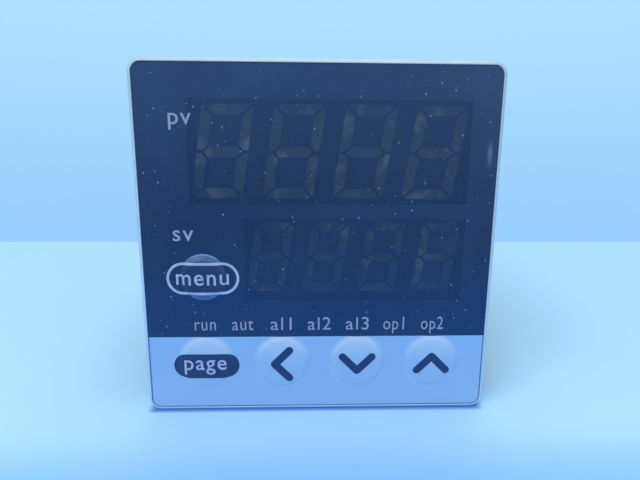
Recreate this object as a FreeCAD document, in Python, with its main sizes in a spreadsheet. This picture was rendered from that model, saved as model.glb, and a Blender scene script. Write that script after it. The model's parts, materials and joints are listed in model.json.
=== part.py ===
import FreeCAD, Part
import Sketcher
import math
import os
import re

# A 48 mm panel-mounted temperature controller.  X runs to the right, Z up, and the
# front looks along -Y.  The origin is the middle of the panel's front surface,
# which is the rear face of the gasket, so the body behind it runs towards +Y.

SIZES = {
    # front
    "face_side": (48.0, "side of the square bezel"),
    "face_corner": (1.8, "outline radius of the bezel"),
    "bezel_depth": (5.0, "bezel from its front edge to the gasket"),
    "bezel_edge": (0.4, "chamfer round the bezel's front edge"),
    "film_rim": (0.5, "bare rim round the film's recess"),
    "film_recess": (0.35, "depth of the film's recess"),
    "film_thickness": (0.25, "front film"),
    "film_clearance": (0.05, "gap round the film"),
    "plate_thickness": (1.2, "bezel's plate behind the film"),
    "gasket_thickness": (1.0, "panel gasket"),
    "gasket_inset": (0.2, "gasket's outer edge inside the bezel's"),
    "gasket_clearance": (0.1, "gasket round the case"),
    # case
    "bezel_overhang": (1.6, "bezel past the case on each side"),
    "case_corner": (1.5, "outline radius of the case"),
    "case_wall": (1.6, "case wall"),
    "case_length": (50.0, "case behind the panel"),
    "vent_width": (1.8, "cooling slot along the case"),
    "vent_length": (14.0, "cooling slot across the case"),
    "vent_pitch": (4.0, "cooling slots along the case"),
    "vent_start": (17.0, "first cooling slot behind the panel"),
    "rack_width": (8.0, "channel that holds the ratchet teeth"),
    "rack_depth": (0.45, "channel's depth to the tooth tips"),
    "rack_start": (4.0, "channel's front end"),
    "rack_length": (42.0, "channel's length"),
    "tooth_depth": (0.5, "ratchet tooth"),
    "tooth_pitch": (2.0, "ratchet tooth spacing"),
    "guide_width": (1.0, "board guide rib"),
    "guide_height": (1.5, "board guide rib above the wall"),
    "guide_clearance": (0.1, "board edge in its guides"),
    # latch arms of the bezel
    "latch_inset": (5.5, "latch arm from the middle of a side board"),
    "latch_width": (3.6, "latch arm"),
    "latch_thickness": (1.0, "latch arm"),
    "latch_reach": (7.0, "latch arm's end behind the panel"),
    "latch_hook": (0.9, "hook's height"),
    "latch_hook_length": (2.2, "hook's length"),
    "latch_clearance": (0.05, "latch arm inside the case"),
    "hook_clearance": (0.2, "case window round a latch hook"),
    # displays
    "display_gap": (0.05, "display face behind the plate"),
    "display_depth": (6.2, "display housing"),
    "window_margin": (0.4, "display housing past its window"),
    "tray_depth": (0.4, "resin segments and the tray that holds them"),
    "tray_rim": (0.5, "rim of the tray"),
    "digit_slant": (8.5, "slant of the digits in degrees"),
    "display_spacing": (1.01, "between the two displays"),
    "pv_left": (6.63, "upper display from the bezel's left side"),
    "pv_right": (3.77, "upper display from the bezel's right side"),
    "pv_top": (4.46, "upper display below the bezel's top"),
    "pv_digit_margin": (1.0, "upper digits inside their housing"),
    "pv_digit_spacing": (0.81, "between the upper digits' slanted outlines"),
    "pv_stroke": (1.35, "upper segment width"),
    "sv_left": (13.59, "lower display from the bezel's left side"),
    "sv_right": (3.81, "lower display from the bezel's right side"),
    "sv_foot": (16.03, "lower display above the bezel's foot"),
    "sv_height": (12.2, "lower display housing"),
    "sv_digit_margin": (1.27, "lower digits inside their housing"),
    "sv_digit_spacing": (1.06, "between the lower digits' slanted outlines"),
    "sv_stroke": (1.1, "lower segment width"),
    "segment_gap": (0.22, "gap between segments"),
    "segment_nick": (0.4, "blunted segment tip"),
    # indicator lamps
    "row_start": (8.45, "first indicator and left keys from the bezel's left side"),
    "lamp_row_end": (7.99, "last indicator from the bezel's right side"),
    "lamp_foot": (12.75, "indicators above the bezel's foot"),
    "lamp_width": (4.2, "indicator window"),
    "lamp_height": (1.7, "indicator window"),
    "lamp_wall": (0.25, "plate's lip over an indicator"),
    # keys
    "key_radius": (4.1, "raised key dome"),
    "key_rise": (0.45, "dome above the film"),
    "key_shoulder": (1.0, "width of the dome's sloping edge"),
    "key_clearance": (0.05, "gap round a dome"),
    "opening_clearance": (0.15, "plate's opening round a dome"),
    "key_travel": (0.35, "key stroke"),
    "key_overtravel": (0.25, "room behind a pressed key"),
    "menu_radius": (3.3, "upper key dome"),
    "menu_foot": (19.65, "upper key above the bezel's foot"),
    "key_foot": (7.35, "lower keys above the bezel's foot"),
    "key_row_end": (7.9, "last key from the bezel's right side"),
    "stem_radius": (1.75, "switch stem"),
    "stem_clearance": (0.05, "stem in the switch"),
    "stem_depth": (0.9, "stem inside the switch at rest"),
    "switch_side": (6.0, "switch housing"),
    "switch_height": (3.4, "switch housing"),
    # boards and what they carry
    "board_thickness": (1.6, "circuit board"),
    "board_margin": (1.3, "display board inside the case wall"),
    "side_board_inset": (4.8, "middle of a side board from the case wall"),
    "side_board_length": (40.0, "side board"),
    "header_length": (24.0, "board connector"),
    "header_side": (2.5, "board connector"),
    "transformer_length": (14.0, "transformer along the board"),
    "transformer_height": (16.0, "transformer across the board"),
    "transformer_reach": (13.0, "transformer above the board"),
    "transformer_start": (10.0, "transformer behind the panel"),
    "transformer_margin": (2.3, "transformer below the case's upper wall"),
    "core_limb": (3.2, "transformer core limb"),
    "bobbin_wall": (0.8, "winding former"),
    "relay_length": (17.0, "output relay"),
    "relay_width": (8.6, "output relay"),
    "relay_reach": (12.5, "output relay above the board"),
    "relay_start": (24.5, "output relay behind the panel"),
    "relay_margin": (2.5, "first output relay above the case's lower wall"),
    "relay_pitch": (9.8, "output relay spacing"),
    "can_radius": (4.0, "capacitor can"),
    "can_reach": (11.5, "capacitor can above the board"),
    "can_start": (13.0, "first capacitor behind the panel"),
    "can_margin": (4.8, "capacitor above the case's lower wall"),
    "can_groove": (0.25, "depth and half width of the can's vent groove"),
    "can_groove_length": (4.0, "the can's vent groove"),
    "chip_side": (10.0, "processor"),
    "chip_thickness": (1.4, "processor"),
    "chip_start": (17.0, "processor centre behind the panel"),
    "driver_length": (5.0, "small chip"),
    "driver_width": (4.0, "small chip"),
    "driver_pitch": (8.0, "small chip spacing"),
    # terminal block
    "terminal_rows": (6, "terminal rows"),
    "column_inset": (8.9, "outer terminal column from the case's side"),
    "block_rim": (1.4, "rim above and below the terminal rows"),
    "terminal_base": (4.0, "terminal block's floor"),
    "barrier_height": (4.5, "barrier above the floor"),
    "barrier_thickness": (0.9, "barrier"),
    "block_skirt": (5.0, "skirt inside the case"),
    "block_skirt_wall": (1.5, "skirt wall"),
    "block_clearance": (0.1, "skirt in the case"),
    "clamp_clearance": (0.15, "terminal plate beside a barrier"),
    "clamp_thickness": (0.8, "terminal plate"),
    "washer_thickness": (0.6, "square washer"),
    "tail_length": (9.0, "contact blade inside the case"),
    "tail_width": (2.4, "contact blade"),
    "tail_thickness": (0.6, "contact blade"),
    "tail_offset": (2.4, "contact blade from the screw"),
    "head_margin": (0.2, "screw head inside the edge of its washer"),
    "screw_head_height": (2.0, "terminal screw head"),
    "screw_radius": (1.5, "terminal screw"),
    "screw_length": (4.6, "terminal screw below its head"),
    "screw_clearance": (0.1, "hole round and below a terminal screw"),
    # mounting bracket
    "bracket_clearance": (0.15, "bracket round the case"),
    "bracket_depth": (12.0, "bracket along the case"),
    "bracket_start": (6.0, "bracket behind the panel"),
    "bracket_corner": (1.6, "outline radius of the bracket"),
    "bracket_wall": (1.4, "side wall of the bracket"),
    "bracket_web": (0.75, "top and bottom of the bracket"),
    "bracket_step": (0.5, "thinner side wall between the flanges"),
    "bracket_flange": (2.4, "front and rear flanges"),
    "pawl_width": (6.0, "ratchet pawl"),
    "pawl_length": (8.5, "ratchet pawl"),
    "pawl_slit": (0.8, "slit beside the pawl"),
    "pawl_gap": (0.15, "lifted pawl above the tooth tips"),
}

LAMPS = 7
DIGITS = 4
KEY_ROW = 4

# Sizes and places that follow from the ones above.
WORKED = {
    "case_side": ("face_side - 2 * bezel_overhang", "side of the square case"),
    "wall_inside": ("case_side / 2 - case_wall", "inner face of a case wall from the middle"),
    "side_board_x": ("wall_inside - side_board_inset", "middle of a side board"),
    "latch_offset": ("side_board_x - latch_inset", "latch arm from the middle"),
    "sv_x": ("(sv_left - sv_right) / 2", "lower display centre"),
    "sv_z": ("sv_foot + sv_height / 2 - face_side / 2", "lower display centre"),
    "sv_width": ("face_side - sv_left - sv_right", "lower display housing"),
    "pv_x": ("(pv_left - pv_right) / 2", "upper display centre"),
    "pv_width": ("face_side - pv_left - pv_right", "upper display housing"),
    "pv_foot": ("sv_foot + sv_height + display_spacing", "upper display above the bezel's foot"),
    "pv_height": ("face_side - pv_top - pv_foot", "upper display housing"),
    "pv_z": ("pv_foot + pv_height / 2 - face_side / 2", "upper display centre"),
    "row_left": ("row_start - face_side / 2", "first indicator and left keys"),
    "lamp_z": ("lamp_foot - face_side / 2", "indicator row"),
    "lamp_pitch": (f"(face_side - row_start - lamp_row_end) / {LAMPS - 1}", "indicator spacing"),
    "menu_z": ("menu_foot - face_side / 2", "upper key"),
    "key_row_z": ("key_foot - face_side / 2", "lower key row"),
    "key_pitch": (f"(face_side - row_start - key_row_end) / {KEY_ROW - 1}", "lower key spacing"),
    "transformer_z": ("wall_inside - transformer_margin - transformer_height / 2", "transformer centre"),
    "relay_z": ("relay_margin + relay_width / 2 - wall_inside", "first output relay"),
    "can_z": ("can_margin + can_radius - wall_inside", "capacitor centre"),
    "terminal_pitch": ("(case_side - 2 * block_rim) / terminal_rows", "terminal row spacing"),
    "column_pitch": ("case_side / 2 - column_inset", "terminal column spacing"),
    "clamp_side": ("terminal_pitch - barrier_thickness - 2 * clamp_clearance", "terminal plate and washer"),
    "head_radius": ("clamp_side / 2 - head_margin", "terminal screw head"),
}
for kind in ("pv", "sv"):
    lean = f"{kind}_digit_height * tan(digit_slant * 1 deg)"
    WORKED[f"{kind}_pitch"] = (f"{kind}_width / {DIGITS}", "digit spacing")
    WORKED[f"{kind}_digit_height"] = (f"{kind}_height - 2 * {kind}_digit_margin", "digit")
    WORKED[f"{kind}_digit_width"] = (f"{kind}_pitch - {lean} - {kind}_digit_spacing", "digit, upright")

document = FreeCAD.newDocument("PanelController")
sheet = document.addObject("Spreadsheet::Sheet", "Sizes")
table = {alias: (str(size), meaning) for alias, (size, meaning) in SIZES.items()}
table.update({alias: (f"={formula}", meaning) for alias, (formula, meaning) in WORKED.items()})
for row, (alias, (entry, meaning)) in enumerate(table.items(), start=1):
    sheet.set(f"A{row}", alias)
    sheet.set(f"B{row}", entry)
    sheet.set(f"C{row}", meaning)
    sheet.setAlias(f"B{row}", alias)
document.recompute()

# Places along Y that several pieces share.
FRONT = "(0 - gasket_thickness - bezel_depth)"
FILM_BACK = f"({FRONT} + film_recess)"
FILM_FRONT = f"({FILM_BACK} - film_thickness)"
PLATE_BACK = f"({FILM_BACK} + plate_thickness)"
BEZEL_BACK = "(0 - gasket_thickness)"
DISPLAY_FACE = f"({PLATE_BACK} + display_gap)"
BOARD_FRONT = f"({DISPLAY_FACE} + display_depth)"
BOARD_BACK = f"({BOARD_FRONT} + board_thickness)"
SWITCH_TOP = f"({BOARD_FRONT} - switch_height)"
DOME_TOP = f"({FILM_FRONT} - key_rise)"
CASE_INNER = "(2 * wall_inside)"
CASE_END = "case_length"
FLOOR = "(case_length + terminal_base)"
POWER_FACE = "(side_board_x - board_thickness / 2)"
CONTROL_FACE = "(0 - side_board_x + board_thickness / 2)"
RACK_TIPS = "(case_side / 2 - rack_depth)"
HEAD_FACE = f"({FLOOR} + clamp_thickness + washer_thickness)"
SCREW_END = f"({HEAD_FACE} - screw_length)"
BRACKET_INNER = "(case_side / 2 + bracket_clearance)"
BRACKET_SIDE = f"({BRACKET_INNER} + bracket_wall)"

DISPLAYS = ("pv", "sv")
KEYS = {
    "menu_key": ("row_left", "menu_z", "menu_radius"),
    "page_key": ("row_left", "key_row_z", "key_radius"),
    "left_key": ("(row_left + key_pitch)", "key_row_z", "key_radius"),
    "down_key": ("(row_left + 2 * key_pitch)", "key_row_z", "key_radius"),
    "up_key": ("(row_left + 3 * key_pitch)", "key_row_z", "key_radius"),
}
VENTS = 7
RELAYS = 2
INPUT_CHIPS = 3
HOLE_SIDES = 36
STEM_SIDES = 12
CAN_SIDES = 16
HEAD_SIDES = 10
SHANK_SIDES = 6
SUB_PARTS = []


def bound(formula):
    """The formula with each size's name led by the sheet's name."""
    def led(word):
        return f"Sizes.{word.group()}" if word.group() in table else word.group()

    return re.sub(r"[a-z]\w*", led, formula)


def amount(formula):
    """The formula's present value."""
    return float(sheet.evalExpression(bound(formula)))


def new_body(label):
    body = document.addObject("PartDesign::Body", label)
    body.Label = label
    SUB_PARTS.append(body)
    return body


def new_sketch(body, name, plane, place="0"):
    """A sketch on one of the body's origin planes, moved to a place along X, Y or Z."""
    sketch = body.newObject("Sketcher::SketchObject", name)
    support = [item for item in body.Origin.OriginFeatures if item.Role == plane][0]
    sketch.AttachmentSupport = (support, "")
    sketch.MapMode = "FlatFace"
    side = "0 - " if plane == "XZ_Plane" else ""
    sketch.setExpression("AttachmentOffset.Base.z", bound(f"{side}({place})"))
    return sketch


def hold(sketch, kind, geometry, point, formula):
    """Ties a point's distance from the sketch's origin to a formula."""
    index = sketch.addConstraint(Sketcher.Constraint(kind, -1, 1, geometry, point, amount(formula)))
    sketch.setExpression(f"Constraints[{index}]", bound(formula))


def polygon(sketch, corners):
    """A closed outline through corners given as pairs of formulas."""
    points = [FreeCAD.Vector(amount(across), amount(along), 0) for across, along in corners]
    edges = [
        sketch.addGeometry(Part.LineSegment(point, points[(number + 1) % len(points)]))
        for number, point in enumerate(points)
    ]
    for number, edge in enumerate(edges):
        following = edges[(number + 1) % len(edges)]
        sketch.addConstraint(Sketcher.Constraint("Coincident", edge, 2, following, 1))
    for edge, (across, along) in zip(edges, corners):
        hold(sketch, "DistanceX", edge, 1, across)
        hold(sketch, "DistanceY", edge, 1, along)


def rectangle(sketch, left, right, bottom, top):
    polygon(sketch, [(left, bottom), (right, bottom), (right, top), (left, top)])


def centred(sketch, across, along, wide, tall):
    """A rectangle with its middle at a place."""
    rectangle(sketch, f"{across} - ({wide}) / 2", f"{across} + ({wide}) / 2",
              f"{along} - ({tall}) / 2", f"{along} + ({tall}) / 2")


def square(sketch, side):
    centred(sketch, "0", "0", side, side)


def rounded_square(sketch, side, corner, tall=None):
    """An outline about the sketch's origin with four equal round corners.

    It is square unless it has a height of its own."""
    tall = tall or side
    radius = amount(corner)
    inner = (amount(side) / 2 - radius, amount(tall) / 2 - radius)
    quarter = math.pi / 2
    lines = []
    arcs = []
    for turn in range(4):
        spin = FreeCAD.Rotation(FreeCAD.Vector(0, 0, 1), 90 * turn)
        along, out = inner[turn % 2], inner[(turn + 1) % 2]
        start = spin.multVec(FreeCAD.Vector(-along, -out - radius, 0))
        end = spin.multVec(FreeCAD.Vector(along, -out - radius, 0))
        centre = spin.multVec(FreeCAD.Vector(along, -out, 0))
        circle = Part.Circle(centre, FreeCAD.Vector(0, 0, 1), radius)
        lines.append(sketch.addGeometry(Part.LineSegment(start, end)))
        arcs.append(sketch.addGeometry(Part.ArcOfCircle(circle, (turn - 1) * quarter, turn * quarter)))
    for turn in range(4):
        sketch.addConstraint(Sketcher.Constraint("Tangent", lines[turn], 2, arcs[turn], 1))
        sketch.addConstraint(Sketcher.Constraint("Tangent", arcs[turn], 2, lines[(turn + 1) % 4], 1))
    for turn in range(1, 4):
        sketch.addConstraint(Sketcher.Constraint("Equal", arcs[0], arcs[turn]))
    for line, direction in zip(lines, ("Horizontal", "Vertical", "Horizontal", "Vertical")):
        sketch.addConstraint(Sketcher.Constraint(direction, line))
    index = sketch.addConstraint(Sketcher.Constraint("Radius", arcs[0], radius))
    sketch.setExpression(f"Constraints[{index}]", bound(corner))
    hold(sketch, "DistanceY", lines[0], 1, f"0 - ({tall}) / 2")
    hold(sketch, "DistanceX", lines[1], 1, f"({side}) / 2")
    hold(sketch, "DistanceY", lines[2], 1, f"({tall}) / 2")
    hold(sketch, "DistanceX", lines[3], 1, f"0 - ({side}) / 2")


def many_sided(sketch, across, along, radius, sides):
    """A regular outline with its corners on a circle."""
    corners = []
    for number in range(sides):
        angle = f"({number} + 0.5) * 360 / {sides} * 1 deg"
        corners.append((f"{across} + ({radius}) * cos({angle})", f"{along} + ({radius}) * sin({angle})"))
    polygon(sketch, corners)


def pad(body, sketch, length):
    """Adds material from the sketch towards +X, +Y or +Z."""
    feature = body.newObject("PartDesign::Pad", sketch.Label + "_pad")
    feature.Profile = sketch
    feature.Reversed = sketch.AttachmentSupport[0][0].Role == "XZ_Plane"
    feature.setExpression("Length", bound(length))
    return feature


def pocket(body, sketch, length):
    """Cuts from the sketch towards +X, +Y or +Z."""
    feature = body.newObject("PartDesign::Pocket", sketch.Label + "_pocket")
    feature.Profile = sketch
    feature.Reversed = sketch.AttachmentSupport[0][0].Role != "XZ_Plane"
    feature.setExpression("Length", bound(length))
    return feature


def repeat(body, feature, axis, pitch, count):
    """Copies a feature along one of the body's axes."""
    roles = {item.Role: item for item in body.Origin.OriginFeatures}
    pattern = body.newObject("PartDesign::LinearPattern", feature.Label + "_row")
    pattern.Originals = [feature]
    pattern.Direction = (roles[axis], [""])
    pattern.Mode = "Spacing"
    pattern.setExpression("Offset", bound(pitch))
    pattern.setExpression("Occurrences", bound(count))
    body.Tip = pattern
    return pattern


def mirror(body, feature, plane):
    roles = {item.Role: item for item in body.Origin.OriginFeatures}
    copy = body.newObject("PartDesign::Mirrored", feature.Label + "_mirror")
    copy.Originals = [feature]
    copy.MirrorPlane = (roles[plane], [""])
    body.Tip = copy
    return copy


def plain(label, draw, plane, start, length):
    """A body that is a single pad of the outline that draw makes."""
    body = new_body(label)
    outline = new_sketch(body, label + "_outline", plane, start)
    draw(outline)
    pad(body, outline, length)
    return body


def break_edges(body, feature, size, wanted):
    """Chamfers the edges of the body so far that the test picks."""
    document.recompute()
    names = [f"Edge{number}" for number, edge in enumerate(feature.Shape.Edges, start=1) if wanted(edge)]
    chamfer = body.newObject("PartDesign::Chamfer", feature.Label + "_chamfer")
    chamfer.Base = (feature, names)
    chamfer.setExpression("Size", bound(size))
    return chamfer


def lies_at(edge, axis, place):
    """Whether the whole edge lies in one plane across an axis."""
    low = edge.BoundBox.getPoint(0)
    high = edge.BoundBox.getPoint(6)
    return abs(low[axis] - place) < 0.001 and abs(high[axis] - place) < 0.001


# ---- front ----

def segment_outlines(kind, column):
    """The seven segments of one slanted digit, as corners across X and along Z."""
    half_wide = f"({kind}_digit_width / 2)"
    half_tall = f"({kind}_digit_height / 2)"
    stroke = f"{kind}_stroke"
    middle = f"({kind}_x + ({column} - {(DIGITS - 1) / 2}) * {kind}_pitch)"

    def lean(across, along):
        return (f"{middle} + ({across}) + ({along}) * tan(digit_slant * 1 deg)", f"{kind}_z + ({along})")

    def end_bar(side):
        points = [
            (f"{half_wide} - segment_gap - segment_nick", half_tall),
            (f"{half_wide} - segment_gap - segment_nick / 2", f"{half_tall} - segment_nick / 2"),
            (f"{half_wide} - segment_gap - {stroke}", f"{half_tall} - {stroke}"),
        ]
        right = [lean(across, f"{side} * ({along})") for across, along in points]
        left = [lean(f"0 - ({across})", f"{side} * ({along})") for across, along in reversed(points)]
        return right + left

    def upright(side, level):
        points = [
            (half_wide, f"{half_tall} - segment_gap - segment_nick"),
            (f"{half_wide} - segment_nick / 2", f"{half_tall} - segment_gap - segment_nick / 2"),
            (f"{half_wide} - {stroke}", f"{half_tall} - {stroke} - segment_gap"),
            (f"{half_wide} - {stroke}", f"{stroke} / 2 + segment_gap"),
            (f"{half_wide} - {stroke} / 2", "segment_gap"),
            (half_wide, "segment_gap"),
        ]
        return [lean(f"{side} * ({across})", f"{level} * ({along})") for across, along in points]

    tip = f"({half_wide} - {stroke} / 2 - segment_gap)"
    middle_bar = [
        lean(tip, "0"),
        lean(f"{tip} - {stroke} / 2", f"{stroke} / 2"),
        lean(f"{stroke} / 2 - {tip}", f"{stroke} / 2"),
        lean(f"0 - {tip}", "0"),
        lean(f"{stroke} / 2 - {tip}", f"0 - {stroke} / 2"),
        lean(f"{tip} - {stroke} / 2", f"0 - {stroke} / 2"),
    ]
    uprights = [upright(side, level) for side in (-1, 1) for level in (-1, 1)]
    return [end_bar(1), end_bar(-1), middle_bar] + uprights


def build_bezel():
    body = new_body("front_bezel")
    outline = new_sketch(body, "bezel_outline", "XZ_Plane", FRONT)
    rounded_square(outline, "face_side", "face_corner")
    shell = pad(body, outline, "bezel_depth")
    front = amount(FRONT)
    break_edges(body, shell, "bezel_edge", lambda edge: lies_at(edge, 1, front))
    recess = new_sketch(body, "bezel_film_recess", "XZ_Plane", FRONT)
    rounded_square(recess, "face_side - 2 * film_rim", "face_corner - film_rim")
    pocket(body, recess, "film_recess")
    hollow = new_sketch(body, "bezel_hollow", "XZ_Plane", PLATE_BACK)
    square(hollow, CASE_INNER)
    pocket(body, hollow, f"{BEZEL_BACK} - {PLATE_BACK}")
    for kind in DISPLAYS:
        window = new_sketch(body, f"bezel_{kind}_window", "XZ_Plane", FILM_BACK)
        centred(window, f"{kind}_x", f"{kind}_z",
                f"{kind}_width - 2 * window_margin", f"{kind}_height - 2 * window_margin")
        pocket(body, window, "plate_thickness")
    openings = new_sketch(body, "bezel_key_openings", "XZ_Plane", FILM_BACK)
    for across, along, radius in KEYS.values():
        side = f"2 * ({radius} + opening_clearance)"
        centred(openings, across, along, side, side)
    pocket(body, openings, "plate_thickness")
    slot = new_sketch(body, "bezel_lamp_slot", "XZ_Plane", FILM_BACK)
    centred(slot, "row_left", "lamp_z", "lamp_width", "lamp_height")
    repeat(body, pocket(body, slot, "plate_thickness"), "X_Axis", "lamp_pitch", str(LAMPS))

    # Four latch arms run back from the plate, and their hooks catch in the case.
    outer = "(wall_inside - latch_clearance)"
    root = "(wall_inside + latch_clearance)"
    for name, edge, reach in (("arm", outer, f"latch_reach - {PLATE_BACK}"),
                              ("root", root, f"{BEZEL_BACK} - {PLATE_BACK}")):
        arms = new_sketch(body, f"bezel_latch_{name}", "XZ_Plane", PLATE_BACK)
        for side in (-1, 1):
            left = f"{side} * latch_offset - latch_width / 2"
            right = f"{side} * latch_offset + latch_width / 2"
            rectangle(arms, left, right, f"{outer} - latch_thickness", edge)
            rectangle(arms, left, right, f"0 - {edge}", f"latch_thickness - {outer}")
        pad(body, arms, reach)
    hooks = new_sketch(body, "bezel_latch_hook", "YZ_Plane", "latch_offset - latch_width / 2")
    for side in (-1, 1):
        polygon(hooks, [
            ("latch_reach - latch_hook_length", f"{side} * ({outer} - latch_thickness / 2)"),
            ("latch_reach - latch_hook_length", f"{side} * ({outer} + latch_hook)"),
            ("latch_reach - latch_hook_length * 3 / 4", f"{side} * ({outer} + latch_hook)"),
            ("latch_reach", f"{side} * ({outer} - latch_thickness / 4)"),
            ("latch_reach", f"{side} * ({outer} - latch_thickness / 2)"),
        ])
    mirror(body, pad(body, hooks, "latch_width"), "YZ_Plane")


def build_film():
    body = new_body("front_film")
    outline = new_sketch(body, "film_outline", "XZ_Plane", FILM_FRONT)
    inset = "(film_rim + film_clearance)"
    rounded_square(outline, f"face_side - 2 * {inset}", f"face_corner - {inset}")
    pad(body, outline, "film_thickness")
    for key, (across, along, radius) in KEYS.items():
        hole = new_sketch(body, f"film_{key}_hole", "XZ_Plane", FILM_FRONT)
        many_sided(hole, across, along, f"{radius} + key_clearance", HOLE_SIDES)
        pocket(body, hole, "film_thickness")


def build_gasket():
    def draw(sketch):
        rounded_square(sketch, "face_side - 2 * gasket_inset", "face_corner - gasket_inset")
        square(sketch, "case_side + 2 * gasket_clearance")

    plain("panel_gasket", draw, "XZ_Plane", BEZEL_BACK, "gasket_thickness")


def build_displays():
    for kind in DISPLAYS:
        def draw_housing(sketch, inset="0", kind=kind):
            centred(sketch, f"{kind}_x", f"{kind}_z",
                    f"{kind}_width - 2 * {inset}", f"{kind}_height - 2 * {inset}")

        def draw_segments(sketch, kind=kind):
            for corners in segment_outlines(kind, 0):
                polygon(sketch, corners)

        housing = plain(f"{kind}_display_housing", draw_housing, "XZ_Plane", DISPLAY_FACE, "display_depth")
        tray = new_sketch(housing, f"{kind}_tray", "XZ_Plane", DISPLAY_FACE)
        draw_housing(tray, "tray_rim")
        pocket(housing, tray, "tray_depth")
        segments = plain(f"{kind}_display_segments", draw_segments, "XZ_Plane", DISPLAY_FACE, "tray_depth")
        repeat(segments, segments.Tip, "X_Axis", f"{kind}_pitch", str(DIGITS))


def build_lamps():
    body = new_body("indicator_lamps")
    lens = new_sketch(body, "lamp_lens", "XZ_Plane", DISPLAY_FACE)
    centred(lens, "row_left", "lamp_z", "lamp_width - 2 * lamp_wall", "lamp_height - 2 * lamp_wall")
    repeat(body, pad(body, lens, "display_depth"), "X_Axis", "lamp_pitch", str(LAMPS))


def build_keys():
    """Each key is a raised cap in a hole of the film, with the stem of a switch behind it."""
    for key, (across, along, radius) in KEYS.items():
        dome = new_body(f"{key}_dome")
        profile = new_sketch(dome, f"{key}_dome_profile", "YZ_Plane", across)
        brim = f"({along} + {radius})"
        polygon(profile, [
            (FILM_BACK, along),
            (DOME_TOP, along),
            (DOME_TOP, f"{brim} - key_shoulder"),
            (FILM_FRONT, brim),
            (FILM_BACK, brim),
        ])
        turn = dome.newObject("PartDesign::Revolution", f"{key}_dome_turn")
        turn.Profile = profile
        turn.ReferenceAxis = (profile, ["Edge1"])
        stem = new_body(f"{key}_stem")
        outline = new_sketch(stem, f"{key}_stem_outline", "XZ_Plane", FILM_BACK)
        many_sided(outline, across, along, "stem_radius", STEM_SIDES)
        pad(stem, outline, f"{SWITCH_TOP} + stem_depth - {FILM_BACK}")


def build_key_switches():
    body = new_body("key_switch_housings")
    outline = new_sketch(body, "switch_outline", "XZ_Plane", SWITCH_TOP)
    for across, along, _ in KEYS.values():
        centred(outline, across, along, "switch_side", "switch_side")
    pad(body, outline, "switch_height")
    bores = new_sketch(body, "switch_bores", "XZ_Plane", SWITCH_TOP)
    for across, along, _ in KEYS.values():
        many_sided(bores, across, along, "stem_radius + stem_clearance", STEM_SIDES)
    pocket(body, bores, "stem_depth + key_travel + key_overtravel")


# ---- boards inside ----

def build_boards():
    def draw_front(sketch):
        square(sketch, "2 * (wall_inside - board_margin)")

    plain("display_board", draw_front, "XZ_Plane", BOARD_FRONT, "board_thickness")
    tall = "(wall_inside - guide_clearance)"
    for label, middle in (("control_board", "(0 - side_board_x)"), ("power_board", "side_board_x")):
        def draw(sketch):
            rectangle(sketch, BOARD_BACK, f"{BOARD_BACK} + side_board_length", f"0 - {tall}", tall)

        plain(label, draw, "YZ_Plane", f"{middle} - board_thickness / 2", "board_thickness")


def build_connectors():
    """Angled headers join the display board to the two side boards."""
    body = new_body("board_connectors")
    for name, start in (("control", CONTROL_FACE), ("power", f"{POWER_FACE} - header_side")):
        strip = new_sketch(body, f"{name}_header", "YZ_Plane", start)
        centred(strip, f"{BOARD_BACK} + header_side / 2", "0", "header_side", "header_length")
        pad(body, strip, "header_side")


def build_transformer():
    def stacked(sketch, length, height):
        centred(sketch, "(transformer_start + transformer_length / 2)", "transformer_z", length, height)

    start = f"{POWER_FACE} - transformer_reach"
    window_height = "transformer_height - 2 * core_limb"
    core = new_body("transformer_core")
    outline = new_sketch(core, "core_outline", "YZ_Plane", start)
    stacked(outline, "transformer_length", "transformer_height")
    pad(core, outline, "transformer_reach")
    window = new_sketch(core, "core_window", "YZ_Plane", f"{start} + core_limb")
    stacked(window, "transformer_length", window_height)
    stacked(window, "core_limb", "core_limb")
    pocket(core, window, "transformer_reach - 2 * core_limb")

    bobbin = new_body("transformer_bobbin")
    tube = new_sketch(bobbin, "bobbin_tube", "YZ_Plane", f"{start} + core_limb")
    stacked(tube, "core_limb + 2 * bobbin_wall", "core_limb + 2 * bobbin_wall")
    stacked(tube, "core_limb", "core_limb")
    pad(bobbin, tube, "transformer_reach - 2 * core_limb")
    cheek = new_sketch(bobbin, "bobbin_cheek", "YZ_Plane", f"{start} + core_limb")
    stacked(cheek, "transformer_length", window_height)
    stacked(cheek, "core_limb", "core_limb")
    first = pad(bobbin, cheek, "bobbin_wall")
    repeat(bobbin, first, "X_Axis", "transformer_reach - 2 * core_limb - bobbin_wall", "2")

    def draw_winding(sketch):
        stacked(sketch, "transformer_length - bobbin_wall", f"{window_height} - bobbin_wall")
        stacked(sketch, "core_limb + 2 * bobbin_wall", "core_limb + 2 * bobbin_wall")

    plain("transformer_winding", draw_winding, "YZ_Plane", f"{start} + core_limb + bobbin_wall",
          "transformer_reach - 2 * core_limb - 2 * bobbin_wall")


def build_relays():
    body = new_body("output_relays")
    case = new_sketch(body, "relay_case", "YZ_Plane", f"{POWER_FACE} - relay_reach")
    centred(case, "relay_start + relay_length / 2", "relay_z", "relay_length", "relay_width")
    repeat(body, pad(body, case, "relay_reach"), "Z_Axis", "relay_pitch", str(RELAYS))


def build_capacitors():
    body = new_body("capacitor_cans")
    can = new_sketch(body, "capacitor_can", "YZ_Plane", f"{POWER_FACE} - can_reach")
    many_sided(can, "can_start", "can_z", "can_radius", CAN_SIDES)
    pad(body, can, "can_reach")
    groove = new_sketch(body, "capacitor_vent", "YZ_Plane", f"{POWER_FACE} - can_reach")
    centred(groove, "can_start", "can_z", "can_groove_length", "2 * can_groove")
    pocket(body, groove, "can_groove")


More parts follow.
